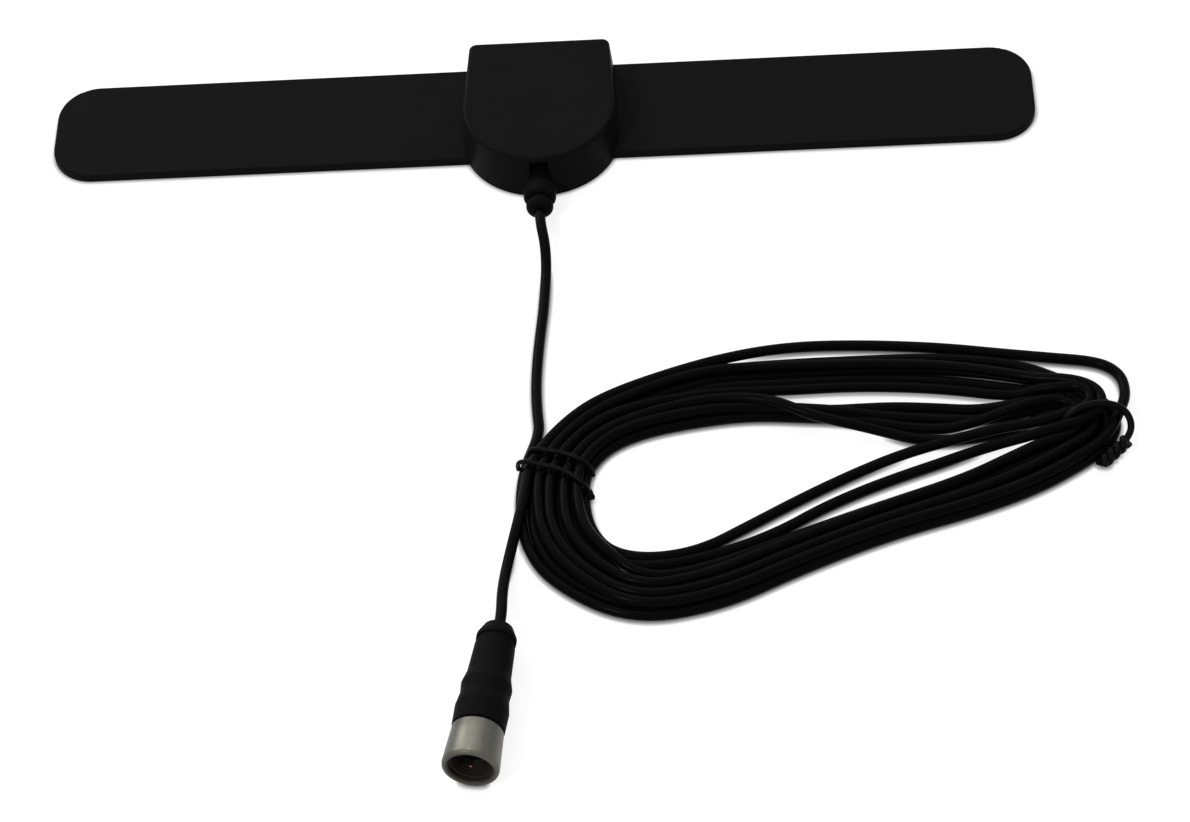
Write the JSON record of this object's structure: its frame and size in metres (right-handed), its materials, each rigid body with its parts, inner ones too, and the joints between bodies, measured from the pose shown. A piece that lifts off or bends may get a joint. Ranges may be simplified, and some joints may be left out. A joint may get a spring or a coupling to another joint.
{
  "type": "tv antenna",
  "caption": "Flat indoor TV antenna: black strip with a D-shaped dome, thin coaxial cable tied in a loose coil, and a screw-on plug whose coupling nut spins.",
  "frame": {"origin": "middle of the strip's length and width, on its flat back face", "axes": "+X along the strip, +Y away from the cable towards the dome's flat side, +Z out of the front face"},
  "size_m": [0.2535, 0.2117, 0.0124],
  "materials": {
    "shell_plastic": "smooth satin black",
    "screw_steel": "zinc plated",
    "element_metal": "bare sheet",
    "board_laminate": "green solder mask",
    "pin_metal": "tinned",
    "ferrite": "matt grey",
    "copper_wire": "enamelled",
    "chip_body": "glazed",
    "saddle_plastic": "moulded black",
    "relief_rubber": "soft black",
    "cable_jacket": "satin black",
    "dielectric": "milky white",
    "tie_plastic": "glossy black",
    "boot_plastic": "satin black",
    "nickel_plate": "dull nickel plate"
  },
  "bodies": {
    "antenna": {"front_shell": "shell_plastic", "back_plate": "shell_plastic", "back_screws": "screw_steel", "left_element": "element_metal", "right_element": "element_metal", "circuit_board": "board_laminate", "board_screws": "screw_steel", "feed_pins": "pin_metal", "balun_core": "ferrite", "balun_winding": "copper_wire", "chip_parts": "chip_body", "signal_terminal": "pin_metal", "cable_saddle": "saddle_plastic", "cable_inner_end": "cable_jacket", "coax_dielectric": "dielectric", "coax_conductor": "copper_wire", "strain_relief": "relief_rubber", "cable_lead": "cable_jacket", "cable_coil": "cable_jacket", "cable_tail": "cable_jacket", "left_tie": "tie_plastic", "right_tie": "tie_plastic", "plug_boot": "boot_plastic", "plug_cable_end": "cable_jacket", "plug_ferrule": "nickel_plate", "plug_post": "nickel_plate", "plug_insulator": "dielectric", "plug_pin": "copper_wire"},
    "nut": {"plug_nut": "nickel_plate"}
  },
  "joints": [
    {"name": "nut_spin", "type": "hinge", "parent": "antenna", "child": "nut", "pos_m": [-0.01195, -0.1867, 0.00605], "axis": [-0.1445, -0.9892, 0.0245], "continuous": true}
  ]
}
